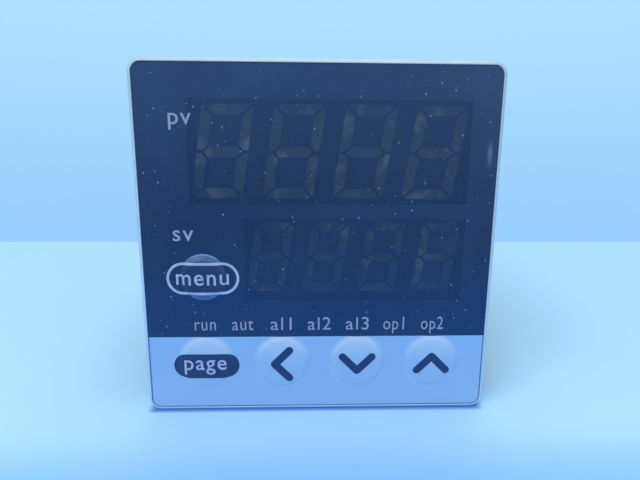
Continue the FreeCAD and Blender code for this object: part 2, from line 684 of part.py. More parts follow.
def build_chips():
    def draw_processor(sketch):
        centred(sketch, "chip_start", "0", "chip_side", "chip_side")

    plain("processor_chip", draw_processor, "YZ_Plane", CONTROL_FACE, "chip_thickness")
    drivers = new_body("input_chips")
    outline = new_sketch(drivers, "input_chip", "YZ_Plane", CONTROL_FACE)
    centred(outline, "chip_start + chip_side + driver_length / 2", "0 - driver_pitch",
            "driver_length", "driver_width")
    repeat(drivers, pad(drivers, outline, "chip_thickness"), "Z_Axis", "driver_pitch", str(INPUT_CHIPS))


# ---- case, terminals and bracket ----

def build_case():
    body = new_body("case")
    outline = new_sketch(body, "case_outline", "XZ_Plane", BEZEL_BACK)
    rounded_square(outline, "case_side", "case_corner")
    square(outline, CASE_INNER)
    pad(body, outline, f"{CASE_END} - {BEZEL_BACK}")

    # Pairs of ribs hold the edges of the side boards.
    ribs = new_sketch(body, "case_guides", "XZ_Plane", BOARD_BACK)
    slot = "(board_thickness / 2 + guide_clearance)"
    for board in (-1, 1):
        for side in (-1, 1):
            near = f"{board} * side_board_x + {side} * {slot}"
            far = f"{near} + {side} * guide_width"
            rectangle(ribs, near, far, "wall_inside - guide_height", "wall_inside + case_wall / 2")
            rectangle(ribs, near, far, "0 - wall_inside - case_wall / 2", "guide_height - wall_inside")
    pad(body, ribs, "side_board_length")

    windows = new_sketch(body, "case_latch_windows", "XY_Plane", "0 - case_side / 2")
    for side in (-1, 1):
        wide = "(latch_width / 2 + hook_clearance)"
        rectangle(windows, f"{side} * latch_offset - {wide}", f"{side} * latch_offset + {wide}",
                  "latch_reach - latch_hook_length - latch_clearance", "latch_reach + hook_clearance")
    pocket(body, windows, "case_side")
    vent = new_sketch(body, "case_vent", "XY_Plane", "0 - case_side / 2")
    rectangle(vent, "0 - vent_length / 2", "vent_length / 2", "vent_start", "vent_start + vent_width")
    repeat(body, pocket(body, vent, "case_side"), "Y_Axis", "vent_pitch", str(VENTS))

    # A shallow channel down each side holds a row of sawteeth for the bracket's pawls.
    for side, name in ((1, "right"), (-1, "left")):
        channel = new_sketch(body, f"case_{name}_channel", "XZ_Plane", "rack_start")
        rectangle(channel, f"{side} * {RACK_TIPS}", f"{side} * case_side / 2",
                  "0 - rack_width / 2", "rack_width / 2")
        pocket(body, channel, "rack_length")
    notch = new_sketch(body, "case_tooth", "XY_Plane", "0 - rack_width / 2")
    for side in (-1, 1):
        polygon(notch, [
            (f"{side} * {RACK_TIPS}", "rack_start"),
            (f"{side} * ({RACK_TIPS} - tooth_depth)", "rack_start"),
            (f"{side} * {RACK_TIPS}", "rack_start + tooth_pitch"),
        ])
    first = pocket(body, notch, "rack_width")
    repeat(body, first, "Y_Axis", "tooth_pitch", "floor(rack_length / tooth_pitch)")


LOWEST_ROW = "(0 - (terminal_rows - 1) / 2 * terminal_pitch)"
COLUMNS = [f"({column} * column_pitch)" for column in (-1, 0, 1)]


def over_rows(body, feature):
    """Copies a feature from the lowest row of terminals to the others."""
    return repeat(body, feature, "Z_Axis", "terminal_pitch", "terminal_rows")


def row_of_plates(sketch, wide, tall, offset="0"):
    for column in COLUMNS:
        centred(sketch, f"{column} + {offset}", LOWEST_ROW, wide, tall)


def row_of_blades(sketch):
    row_of_plates(sketch, "tail_thickness", "tail_width", "tail_offset")


def row_of_holes(sketch, radius, sides):
    for column in COLUMNS:
        many_sided(sketch, column, LOWEST_ROW, radius, sides)


def build_terminal_block():
    body = new_body("terminal_block")
    base = new_sketch(body, "block_base", "XZ_Plane", CASE_END)
    rounded_square(base, "case_side", "case_corner")
    pad(body, base, "terminal_base")
    skirt = new_sketch(body, "block_skirt_outline", "XZ_Plane", f"{CASE_END} - block_skirt")
    square(skirt, f"{CASE_INNER} - 2 * block_clearance")
    square(skirt, f"{CASE_INNER} - 2 * block_clearance - 2 * block_skirt_wall")
    pad(body, skirt, "block_skirt")
    barrier = new_sketch(body, "block_barrier", "XZ_Plane", FLOOR)
    centred(barrier, "0", f"({LOWEST_ROW} - terminal_pitch / 2)", "case_side", "barrier_thickness")
    repeat(body, pad(body, barrier, "barrier_height"), "Z_Axis", "terminal_pitch", "terminal_rows + 1")
    hole = new_sketch(body, "block_screw_hole", "XZ_Plane", f"{SCREW_END} - screw_clearance")
    row_of_holes(hole, "screw_radius + screw_clearance", SHANK_SIDES)
    over_rows(body, pocket(body, hole, f"{FLOOR} - {SCREW_END} + screw_clearance"))
    passage = new_sketch(body, "block_blade_slot", "XZ_Plane", f"{CASE_END} - block_skirt")
    row_of_blades(passage)
    over_rows(body, pocket(body, passage, "block_skirt + terminal_base"))


def build_terminals():
    plates = new_body("terminal_plates")
    plate = new_sketch(plates, "plate_outline", "XZ_Plane", FLOOR)
    row_of_plates(plate, "clamp_side", "clamp_side")
    row_of_holes(plate, "screw_radius + screw_clearance", SHANK_SIDES)
    over_rows(plates, pad(plates, plate, "clamp_thickness"))
    blade = new_sketch(plates, "plate_blade", "XZ_Plane", f"{FLOOR} - tail_length")
    row_of_blades(blade)
    over_rows(plates, pad(plates, blade, "tail_length"))

    washers = new_body("terminal_washers")
    washer = new_sketch(washers, "washer_outline", "XZ_Plane", f"{FLOOR} + clamp_thickness")
    row_of_plates(washer, "clamp_side", "clamp_side")
    row_of_holes(washer, "screw_radius + screw_clearance", SHANK_SIDES)
    over_rows(washers, pad(washers, washer, "washer_thickness"))

    screws = new_body("terminal_screws")
    head = new_sketch(screws, "screw_head", "XZ_Plane", HEAD_FACE)
    row_of_holes(head, "head_radius", HEAD_SIDES)
    over_rows(screws, pad(screws, head, "screw_head_height"))
    shank = new_sketch(screws, "screw_shank", "XZ_Plane", SCREW_END)
    row_of_holes(shank, "screw_radius", SHANK_SIDES)
    over_rows(screws, pad(screws, shank, "screw_length"))


def build_bracket():
    """A frame that slides along the case and clamps the panel from behind."""
    body = new_body("mounting_bracket")
    sleeve = new_sketch(body, "bracket_sleeve", "XZ_Plane", "bracket_start")
    top = f"({BRACKET_INNER} + bracket_web)"
    rounded_square(sleeve, f"2 * {BRACKET_SIDE}", "bracket_corner", f"2 * {top}")
    square(sleeve, f"2 * {BRACKET_INNER}")
    pad(body, sleeve, "bracket_depth")

    # The side walls are thinner between the front and rear flanges.
    dent = new_sketch(body, "bracket_dent", "XZ_Plane", "bracket_start + bracket_flange")
    for side in (-1, 1):
        centred(dent, f"{side} * {BRACKET_SIDE}", "0", "2 * bracket_step", f"2 * {top}")
    pocket(body, dent, "bracket_depth - 2 * bracket_flange")

    # Slits free a pawl in each side wall, and its tooth reaches into the channel.
    slits = new_sketch(body, "bracket_slits", "YZ_Plane", f"0 - {BRACKET_SIDE}")
    pawl_end = "(bracket_start + bracket_depth)"
    for side in (-1, 1):
        rectangle(slits, f"{pawl_end} - pawl_length", pawl_end,
                  f"{side} * pawl_width / 2", f"{side} * (pawl_width / 2 + pawl_slit)")
    pocket(body, slits, f"2 * {BRACKET_SIDE}")
    tooth = new_sketch(body, "bracket_pawl_tooth", "XY_Plane", "0 - pawl_width / 2")
    for side in (-1, 1):
        polygon(tooth, [
            (f"{side} * ({BRACKET_INNER} + pawl_gap)", f"{pawl_end} - 2 * tooth_pitch"),
            (f"{side} * ({RACK_TIPS} + pawl_gap)", f"{pawl_end} - tooth_pitch"),
            (f"{side} * ({RACK_TIPS} + pawl_gap)", f"{pawl_end} - tooth_pitch / 2"),
            (f"{side} * ({BRACKET_INNER} + pawl_gap)", f"{pawl_end} - tooth_pitch / 2"),
        ])
    pad(body, tooth, "pawl_width")


def check_model():
    failed = [item.Label for item in document.Objects if {"Invalid", "Error"} & set(item.State)]
    empty = [body.Label for body in SUB_PARTS if body.Shape.isNull() or not body.Shape.isValid()]
    if failed or empty:
        raise RuntimeError(f"failed objects {failed}, empty or invalid sub-parts {empty}")


def write_parts():
    os.makedirs("parts", exist_ok=True)
    for body in SUB_PARTS:
        body.Shape.exportStep(f"parts/{body.Label}.step")
        print(f"{body.Label}: {len(body.Shape.Solids)} solids, {body.Shape.Volume:.1f} mm3")


build_bezel()
build_film()
build_gasket()
build_displays()
build_lamps()
build_keys()
build_key_switches()
build_boards()
build_connectors()
build_transformer()
build_relays()
build_capacitors()
build_chips()
build_case()
build_terminal_block()
build_terminals()
build_bracket()
document.recompute()
check_model()
write_parts()
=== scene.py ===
import json
import math
import random

import bpy
from mathutils import Matrix, Vector


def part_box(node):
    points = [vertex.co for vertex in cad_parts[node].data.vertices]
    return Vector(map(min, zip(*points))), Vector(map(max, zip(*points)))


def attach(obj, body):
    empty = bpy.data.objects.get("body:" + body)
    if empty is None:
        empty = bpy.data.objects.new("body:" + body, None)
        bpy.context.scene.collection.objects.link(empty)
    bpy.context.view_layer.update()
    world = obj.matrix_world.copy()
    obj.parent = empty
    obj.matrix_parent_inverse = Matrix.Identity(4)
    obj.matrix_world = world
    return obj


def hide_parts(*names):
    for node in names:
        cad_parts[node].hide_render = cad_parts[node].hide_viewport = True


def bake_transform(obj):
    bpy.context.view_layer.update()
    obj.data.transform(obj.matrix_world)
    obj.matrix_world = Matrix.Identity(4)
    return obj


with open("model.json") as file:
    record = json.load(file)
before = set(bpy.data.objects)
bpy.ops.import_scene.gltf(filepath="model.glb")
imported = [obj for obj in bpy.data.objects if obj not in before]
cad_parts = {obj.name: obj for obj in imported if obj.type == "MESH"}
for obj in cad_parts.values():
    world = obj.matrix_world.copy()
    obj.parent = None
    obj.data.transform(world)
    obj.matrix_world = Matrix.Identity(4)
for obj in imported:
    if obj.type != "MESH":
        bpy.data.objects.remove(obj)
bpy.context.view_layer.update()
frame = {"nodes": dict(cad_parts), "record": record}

mm = 0.001
print("frame loaded,", len(frame["nodes"]), "nodes")


class Wire:
    # one output of a node; sums and products of wires add Math nodes

    def __init__(self, finish, socket):
        self.finish = finish
        self.socket = socket

    def __add__(self, other):
        return self.finish.maths("ADD", self, other)

    def __radd__(self, other):
        return self.finish.maths("ADD", other, self)

    def __sub__(self, other):
        return self.finish.maths("SUBTRACT", self, other)

    def __rsub__(self, other):
        return self.finish.maths("SUBTRACT", other, self)

    def __mul__(self, other):
        return self.finish.maths("MULTIPLY", self, other)

    def __rmul__(self, other):
        return self.finish.maths("MULTIPLY", other, self)

    def __mod__(self, other):
        return self.finish.maths("FLOORED_MODULO", self, other)

    def __pow__(self, other):
        return self.finish.maths("POWER", self, other)

    def __gt__(self, other):
        return self.finish.maths("GREATER_THAN", self, other)

    def __lt__(self, other):
        return self.finish.maths("LESS_THAN", self, other)

    def __abs__(self):
        return self.finish.maths("ABSOLUTE", self)


class Finish:
    # a material, or the world's air, and the nodes that make it

    def __init__(self, name, library="materials"):
        self.owner = getattr(bpy.data, library).new(name)
        self.owner.use_nodes = True
        self.tree = self.owner.node_tree
        self.tree.nodes.clear()
        self.spot = None

    def node(self, kind, settings=None, output=0, **sockets):
        made = self.tree.nodes.new("ShaderNode" + kind)
        for name, value in (settings or {}).items():
            setattr(made, name, value)
        for name, value in sockets.items():
            self.feed(self.socketOf(made, name), value)
        return Wire(self, made.outputs[output]) if len(made.outputs) else None

    def socketOf(self, made, name):
        # a socket is named in words with _ for spaces, or by its number as n3
        if name[0] == "n" and name[1:].isdigit():
            return made.inputs[int(name[1:])]
        return made.inputs[name.replace("_", " ")]

    def feed(self, socket, value):
        if isinstance(value, Wire):
            self.tree.links.new(value.socket, socket)
        else:
            socket.default_value = value

    def beside(self, wire, output):
        # another output of the node that a wire comes from
        return Wire(self, wire.socket.node.outputs[output])

    def maths(self, operation, *values):
        sockets = {f"n{count}": value for count, value in enumerate(values)}
        return self.node("Math", {"operation": operation}, **sockets)

    def blendColour(self, share, first, second):
        return self.node("Mix", {"data_type": "RGBA"}, 2, n0=share, n6=first, n7=second)

    def step(self, value, low, high):
        # 0 below low, 1 above high, smooth between
        settings = {"interpolation_type": "SMOOTHSTEP"}
        return self.node("MapRange", settings, n0=value, n1=low, n2=high, n3=0.0, n4=1.0)

    def place(self):
        # object coordinates in millimetres
        if self.spot is None:
            coordinates = self.node("TexCoord", output="Object")
            settings = {"operation": "SCALE"}
            self.spot = self.node("VectorMath", settings, n0=coordinates, Scale=1 / mm)
        return self.spot

    def axes(self):
        across = self.node("SeparateXYZ", n0=self.place())
        return across, self.beside(across, 1), self.beside(across, 2)

    def noise(self, scale, detail=3.0, vector=None):
        # scale is in cycles per millimetre
        return self.node("TexNoise", {"noise_dimensions": "3D"}, Vector=vector or self.place(),
                         Scale=scale, Detail=detail, Roughness=0.5)

    def bump(self, height, distance, strength):
        # distance is in millimetres
        return self.node("Bump", Height=height, Distance=distance * mm, Strength=strength)

    def surface(self, **sockets):
        self.node("OutputMaterial", Surface=self.node("BsdfPrincipled", **sockets))
        return self.owner


def toLinear(red, green, blue):
    # a screen colour of 0 to 255 as the shader's linear colour
    def channel(value):
        share = value / 255
        return share / 12.92 if share <= 0.04045 else ((share + 0.055) / 1.055) ** 2.4

    return (channel(red), channel(green), channel(blue), 1.0)


def times(colour, factor):
    # a screen colour made paler or darker by a factor
    return tuple(min(share * factor, 1.0) for share in toLinear(*colour)[:3]) + (1.0,)


def deselectAll():
    if bpy.context.mode != "OBJECT":
        bpy.ops.object.mode_set(mode="OBJECT")
    for thing in bpy.context.selected_objects:
        thing.select_set(False)


def pick(thing):
    deselectAll()
    thing.select_set(True)
    bpy.context.view_layer.objects.active = thing


def named(thing, name):
    thing.name = name
    thing.data.name = name
    return thing


def settle(thing):
    # puts the object's place and turn into its mesh
    pick(thing)
    bpy.ops.object.transform_apply(location=True, rotation=True, scale=True)
    return thing


def selectFaces(thing, wanted):
    # leaves the mesh in edit mode with the wanted faces selected
    pick(thing)
    bpy.ops.object.mode_set(mode="EDIT")
    bpy.ops.mesh.select_all(action="DESELECT")
    bpy.ops.object.mode_set(mode="OBJECT")
    for face in thing.data.polygons:
        face.select = wanted(face)
    bpy.ops.object.mode_set(mode="EDIT")


def joined(things, name):
    deselectAll()
    for thing in things:
        thing.select_set(True)
    bpy.context.view_layer.objects.active = things[0]
    bpy.ops.object.join()
    return named(bpy.context.view_layer.objects.active, name)


def smooth(thing, degrees=35):
    pick(thing)
    bpy.ops.object.shade_smooth_by_angle(angle=math.radians(degrees))


def wear(thing, material, body):
    # gives a piece its material and, when a body is named, the body that it rides
    thing.data.materials.clear()
    thing.data.materials.append(material)
    if body:
        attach(thing, body)
    return thing


# camera, floor and light, in millimetres, degrees and watts
view = {"place": (-2.02, -71.49, 14.79), "elevation": 11.97, "yaw": 1.95, "roll": 0.41,
        "lens": 28.125, "sensor": 36.0, "clipFrom": 1.0}
table = {
    "level": -24.0, "near": -900.0, "far": 108.0, "side": 900.0, "roughness": 0.6,
    # the front blue is darker than the back one as painted shade
    "front": (134, 194, 249), "back": (172, 221, 255), "turnsFrom": -19.0, "turnsTo": -5.0,
    "cloud": 0.012, "cloudReach": 8,
    # shade is a painted contact shadow in a strip just in front of the bezel's foot
    "shade": (44, 112, 196), "shadeShare": 0.75, "shadeWide": 0.9, "shadeIn": 1.0, "shadeOut": 0.6,
}
lamps = {
    "key": {"place": (-260, -330, 420), "size": 340, "watts": 1.75, "colour": (1.0, 1.0, 1.0)},
    "fill": {"place": (380, -420, 160), "size": 480, "watts": 0.65, "colour": (1.0, 1.0, 1.0)},
    "top": {"place": (40, 90, 520), "size": 380, "watts": 1.2, "colour": (1.0, 0.95, 0.88)},
}
air = {"low": (153, 206, 254), "high": (175, 224, 254), "from": -0.16, "to": 0.2,
       "light": (0.92, 0.97, 1.0, 1.0), "strength": 0.48}


def addCamera():
    elevation, yaw = math.radians(view["elevation"]), math.radians(view["yaw"])
    level = math.cos(elevation)
    forward = Vector((math.sin(yaw) * level, math.cos(yaw) * level, -math.sin(elevation)))
    roll = Matrix.Rotation(math.radians(view["roll"]), 3, "Z")
    data = bpy.data.cameras.new("camera")
    data.lens = view["lens"]
    data.sensor_width = view["sensor"]
    data.clip_start = view["clipFrom"] * mm
    camera = bpy.data.objects.new("camera", data)
    camera.location = Vector(view["place"]) * mm
    camera.rotation_euler = (forward.to_track_quat("-Z", "Y").to_matrix() @ roll).to_euler()
    bpy.context.scene.collection.objects.link(camera)
    bpy.context.scene.camera = camera


def tableFinish():
    # two pale blues that meet under the front, the nearer one darker as painted shade, and a
    # painted contact shadow just in front of the bezel's foot
    finish = Finish("paleTable")
    across, deep, _ = finish.axes()
    cloud = finish.noise(table["cloud"], detail=2.0) * table["cloudReach"]
    # painted shade: the floor turns a darker blue towards the front
    behind = finish.step(deep + cloud, table["turnsFrom"], table["turnsTo"])
    colour = finish.blendColour(behind, toLinear(*table["front"]), toLinear(*table["back"]))
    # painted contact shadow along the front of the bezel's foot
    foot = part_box("front_bezel")
    side, front = foot[1].x / mm, foot[0].y / mm
    wide = 1 - finish.step(abs(across), side - table["shadeIn"], side + table["shadeOut"])
    close = finish.step(deep, front - table["shadeWide"], front)
    shaded = close * wide * table["shadeShare"]
    colour = finish.blendColour(shaded, colour, toLinear(*table["shade"]))
    return finish.surface(Base_Color=colour, Roughness=table["roughness"])


def addTable():
    deselectAll()
    bpy.ops.mesh.primitive_plane_add(size=1)
    floor = named(bpy.context.object, "floor")
    depth = table["far"] - table["near"]
    floor.scale = (2 * table["side"] * mm, depth * mm, 1)
    floor.location = (0, (table["near"] + depth / 2) * mm, table["level"] * mm)
    settle(floor)
    floor.data.materials.append(tableFinish())


def addLamps():
    for name, lamp in lamps.items():
        data = bpy.data.lights.new(name + "Lamp", "AREA")
        data.size = lamp["size"] * mm
        data.energy = lamp["watts"]
        data.color = lamp["colour"]
        thing = bpy.data.objects.new(name + "Lamp", data)
        thing.location = Vector(lamp["place"]) * mm
        thing.rotation_euler = (-thing.location).to_track_quat("-Z", "Y").to_euler()
        bpy.context.scene.collection.objects.link(thing)


def addAir():
    # seen, mirrored or through glass it is a pale backdrop, and it lights the rest plainly
    finish = Finish("air", "worlds")
    seen = finish.node("LightPath", output="Is Camera Ray")
    for ray in ("Is Glossy Ray", "Is Transmission Ray"):
        seen = finish.maths("MAXIMUM", seen, finish.node("LightPath", output=ray))
    direction = finish.node("TexCoord", output="Generated")
    height = finish.node("SeparateXYZ", output="Z", n0=direction)
    share = finish.node("MapRange", n0=height, n1=air["from"], n2=air["to"])
    sky = finish.blendColour(share, toLinear(*air["low"]), toLinear(*air["high"]))
    light = finish.node("Background", Color=air["light"], Strength=air["strength"])
    shown = finish.node("Background", Color=sky)
    finish.node("OutputWorld", Surface=finish.node("MixShader", n0=seen, n1=light, n2=shown))
    bpy.context.scene.world = finish.owner


bpy.context.scene.view_settings.view_transform = "Standard"
addCamera()
addTable()
addLamps()
addAir()
print("camera, table and light placed")

# the front film, its raised key caps and its print, in millimetres
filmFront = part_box("front_film")[0].y / mm
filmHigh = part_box("front_film")[1]
keyNames = ["menu_key", "page_key", "left_key", "down_key", "up_key"]
capShape = {"sides": 72, "lip": 0.1, "lift": 0.004, "thickness": 0.2, "headroom": 0.045,
            "shoulder": 1.0, "rings": 11, "crown": 0.05, "crownRings": 5, "smooth": 40}
displays = {
    "upper": {"node": "pv_display_housing", "margin": 0.45, "clear": 0.36, "tint": 1.47},
    "lower": {"node": "sv_display_housing", "margin": 0.45, "clear": 0.27, "tint": 1.32},
}
film = {
    # top, middle and foot grade the dark blue as painted reflection of the blue surroundings
    "top": (35, 60, 93), "middle": (20, 46, 81), "foot": (12, 52, 100), "topFrom": 4.0,
    "cloud": (74, 100, 144), "cloudShare": 0.1,
    "band": (133, 177, 228), "bandFoot": (137, 179, 227), "bandTop": -12.9,
    # edge is the colour of a painted shadow line where the film meets the bezel
    "edge": (60, 96, 140), "seamShadowWidth": 0.13, "seamShadowShare": 0.8, "corner": 1.25,
    "roughness": 0.3, "ripple": 0.12, "dustRoughness": 0.4, "gloss": 0.28, "relief": 0.02,
    "frontOnly": 0.12,
}
# the menu cap's painted sheen and painted highlight on its upper rim, and the dark inside its
# outline
menuCapSheen = {"top": (74, 100, 144), "foot": (66, 108, 172), "edge": 0.3, "middleShare": 0.35,
           "rim": (128, 156, 198), "highlightWidth": 0.2, "highlightShare": 0.8,
           "inside": (22, 48, 88), "insideShare": 0.85}
# the four lower caps' painted highlight, and the painted light on their lower brims
rowCapSheen = {"foot": (137, 179, 226), "top": (166, 196, 230), "edgeIn": 0.7, "edgeOut": 0.1,
           "brim": (158, 194, 232), "brimFrom": 1.1, "brimFull": 0.5, "brimShare": 0.7}
marks = {
    "colour": (176, 196, 216), "share": 0.56,
    "grains": [{"net": 0.42, "size": 0.028, "lot": 0.4}, {"net": 0.9, "size": 0.03, "lot": 0.75},
               {"net": 0.16, "size": 0.018, "lot": 0.45}],
    "hairs": [{"turn": 38, "net": 0.5, "long": 0.36, "size": 0.026, "lot": 0.86},
              {"turn": 118, "net": 0.42, "long": 0.4, "size": 0.024, "lot": 0.84}],
    "curl": 0.5,
    "smear": {"across": 22.4, "up": 12.4, "wide": 0.5, "tall": 2.2, "share": 0.2},
}
pills = {    # each one's middle across and up, its width and its height
    "menu": (-15.6, -4.45, 9.8, 4.5),
    "page": (-15.55, -17.1, 9.1, 3.6),
}


def capOf(key):
    # a cap's middle across X and Z, its radius, and its rise from the film
    low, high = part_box(key + "_dome")
    rise = filmFront - low.y / mm - capShape["headroom"]
    return (low.x + high.x) / 2 / mm, (low.z + high.z) / 2 / mm, (high.x - low.x) / 2 / mm, rise


caps = {key: capOf(key) for key in keyNames}


def riseAt(key, across, along):
    # how far the cap stands in front of the film at a place
    middleX, middleZ, radius, rise = caps[key]
    distance = math.hypot(across - middleX, along - middleZ)
    share = min(max((radius - distance) / capShape["shoulder"], 0.0), 1.0)
    flat = radius - capShape["shoulder"]
    crown = max(0.0, 1 - (distance / flat) ** 2) * capShape["crown"]
    return (rise - capShape["crown"]) * share * share * (3 - 2 * share) + crown


def fromCap(key, across, up):
    # how far a place is from a cap's middle
    middleX, middleZ, _, _ = caps[key]
    return ((across - middleX) ** 2 + (up - middleZ) ** 2) ** 0.5


def roundedEdge(finish, across, up, half, corner):
    # how far a place lies outside a rounded square, below nought inside it
    outX = abs(across) - (half - corner)
    outZ = abs(up) - (half - corner)
    cornerX, cornerZ = finish.maths("MAXIMUM", outX, 0.0), finish.maths("MAXIMUM", outZ, 0.0)
    straight = finish.maths("MINIMUM", finish.maths("MAXIMUM", outX, outZ), 0.0)
    return (cornerX ** 2 + cornerZ ** 2) ** 0.5 + straight - corner


def scattered(finish, across, up, net):
    # how near the closest seed of a net lies, and that seed's own lot from 0 to 1
    flat = finish.node("CombineXYZ", n0=across, n1=up, n2=0.0)
    near = finish.node("TexVoronoi", {"voronoi_dimensions": "2D"}, 0,
                       Vector=flat, Scale=net, Randomness=1.0)
    return near, finish.node("SeparateColor", n0=finish.beside(near, 1))


def dustOn(finish, across, up):
    # grains and short hairs scattered over the sheet, nought where it is clean
    found = 0.0
    for grain in marks["grains"]:
        near, lot = scattered(finish, across, up, grain["net"])
        found = found + (near < lot * grain["size"]) * (lot > grain["lot"])
    for hair in marks["hairs"]:
        turn = math.radians(hair["turn"])
        along = (across * math.cos(turn) + up * math.sin(turn)) * hair["long"]
        aside = up * math.cos(turn) - across * math.sin(turn)
        bent = aside + finish.noise(0.6, detail=1.0) * marks["curl"]
        near, lot = scattered(finish, along, bent, hair["net"])
        found = found + (near < hair["size"]) * (lot > hair["lot"])
    return finish.maths("MINIMUM", found, 1.0)


def smearOn(finish, across, up):
    # one upright smear near the right edge
    smear = marks["smear"]
    wide = 1 - finish.step(abs(across - smear["across"]), 0.0, smear["wide"])
    return wide * (1 - finish.step(abs(up - smear["up"]), 0.0, smear["tall"])) * smear["share"]


def darkSheet(finish, across, up):
    # the dark part, paler at the top and bluer at the foot as painted reflection, with its tinted
    # display windows; also where they are, and how clear
    upper = finish.step(up, film["topFrom"], filmHigh.z / mm)
    lower = finish.step(up, film["bandTop"], film["topFrom"])

    def shaded(factor):
        low = finish.blendColour(lower, times(film["foot"], factor), times(film["middle"], factor))
        return finish.blendColour(upper, low, times(film["top"], factor))

    dark = shaded(1.0)
    window, seeThrough = 0.0, 0.0
    for display in displays.values():
        low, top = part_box(display["node"])
        halfWide = (top.x - low.x) / 2 / mm - display["margin"]
        halfTall = (top.z - low.z) / 2 / mm - display["margin"]
        inside = ((abs(across - (low.x + top.x) / 2 / mm) < halfWide)
                  * (abs(up - (low.z + top.z) / 2 / mm) < halfTall))
        dark = finish.blendColour(inside, dark, shaded(display["tint"]))
        window = window + inside
        seeThrough = seeThrough + inside * display["clear"]
    cloud = finish.step(finish.noise(0.08), 0.3, 0.75) * film["cloudShare"]
    return finish.blendColour(cloud, dark, toLinear(*film["cloud"])), window, seeThrough


def menuCapOn(finish, dark, across, up):
    # painted sheen: the upper key's cap is painted paler than the sheet and bluer at its foot,
    # with a painted highlight along its upper rim, and dark again inside its outline
    _, middleZ, radius, _ = caps["menu_key"]
    distance = fromCap("menu_key", across, up)
    least = menuCapSheen["middleShare"]
    share = ((1 - finish.step(distance, radius - menuCapSheen["edge"], radius))
             * (least + (1 - least) * finish.step(distance, radius * 0.5, radius)))
    height = finish.step(up, middleZ - radius, middleZ + radius)
    shade = finish.blendColour(height, toLinear(*menuCapSheen["foot"]), toLinear(*menuCapSheen["top"]))
    dark = finish.blendColour(share, dark, shade)
    # painted highlight along the upper rim of the cap
    rim = (distance > radius - menuCapSheen["highlightWidth"]) * (distance < radius)
    rim = rim * finish.step(up, middleZ + radius * 0.5, middleZ + radius) * menuCapSheen["highlightShare"]
    dark = finish.blendColour(rim, dark, toLinear(*menuCapSheen["rim"]))
    pillX, pillZ, wide, tall = pills["menu"]
    away = finish.maths("MAXIMUM", abs(across - pillX) - (wide - tall) / 2, 0.0)
    inside = ((away ** 2 + (up - pillZ) ** 2) ** 0.5 < tall / 2) * menuCapSheen["insideShare"]
    return finish.blendColour(inside, dark, toLinear(*menuCapSheen["inside"]))


def paleBand(finish, across, up):
    # the pale foot of the film with its four caps, painted paler and lighter upwards as painted
    # highlight, with painted light on their lower brims against their shade, and a painted shadow
    # line round its edge
    height = finish.step(up, -filmHigh.z / mm, film["bandTop"])
    band = finish.blendColour(height, toLinear(*film["bandFoot"]), toLinear(*film["band"]))
    pale, brim = 0.0, 0.0
    for key in keyNames[1:]:
        _, middleZ, radius, _ = caps[key]
        distance = fromCap(key, across, up)
        edge = finish.step(distance, radius - rowCapSheen["edgeIn"], radius + rowCapSheen["edgeOut"])
        pale = pale + 1 - edge
        outer = (finish.step(distance, radius - rowCapSheen["brimFrom"], radius - rowCapSheen["brimFull"])
                 * (1 - finish.step(distance, radius - rowCapSheen["edgeOut"], radius)))
        # painted light on the lower shoulder, where the cap faces down into shade
        brim = brim + outer * (1 - finish.step(up, middleZ - radius * 0.6, middleZ))
    _, rowZ, rowRadius, _ = caps["page_key"]
    height = finish.step(up, rowZ - rowRadius * 0.2, rowZ + rowRadius)
    shade = finish.blendColour(height, toLinear(*rowCapSheen["foot"]), toLinear(*rowCapSheen["top"]))
    band = finish.blendColour(pale, band, shade)
    band = finish.blendColour(brim * rowCapSheen["brimShare"], band, toLinear(*rowCapSheen["brim"]))
    # painted shadow line round the film's edge, where the gap to the bezel lies
    edge = roundedEdge(finish, across, up, filmHigh.x / mm, film["corner"]) > -film["seamShadowWidth"]
    return finish.blendColour(edge * film["seamShadowShare"], band, toLinear(*film["edge"]))


def filmFinish():
    # the printed sheet; its windows are tinted on the front face and clear on the back one
    finish = Finish("printedFilm")
    across, deep, up = finish.axes()
    dark, window, seeThrough = darkSheet(finish, across, up)
    dark = menuCapOn(finish, dark, across, up)
    colour = finish.blendColour(up < film["bandTop"], dark, paleBand(finish, across, up))
    dust = dustOn(finish, across, up) * (up > film["bandTop"]) * marks["share"]
    colour = finish.blendColour(smearOn(finish, across, up), colour, toLinear(*marks["colour"]))
    colour = finish.blendColour(dust, colour, toLinear(*marks["colour"]))
    ripple = film["ripple"] * finish.noise(0.5)
    relief = finish.bump(finish.noise(0.4, detail=1.0), film["relief"], 0.15)
    front = deep < filmFront + film["frontOnly"]
    opaque = 1 - window * (1 - front) - seeThrough * front * (1 - dust)
    return finish.surface(
        Base_Color=colour, Roughness=film["roughness"] + ripple + dust * film["dustRoughness"],
        Specular_IOR_Level=film["gloss"], Alpha=opaque, Normal=relief)


filmMaterial = filmFinish()


def pressed(thing, key, lift=0.0):
    # the sheet stays; what stands in front of it, print and cap alike, has its place baked into
    # its mesh, and the key's middle and foot are worked out but not used
    middleX, middleZ, _, rise = caps[key]
    foot = filmFront - lift
    middleX * mm
    foot * mm
    middleZ * mm
    middleX * mm
    (foot - rise) * mm
    middleZ * mm
    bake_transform(thing)


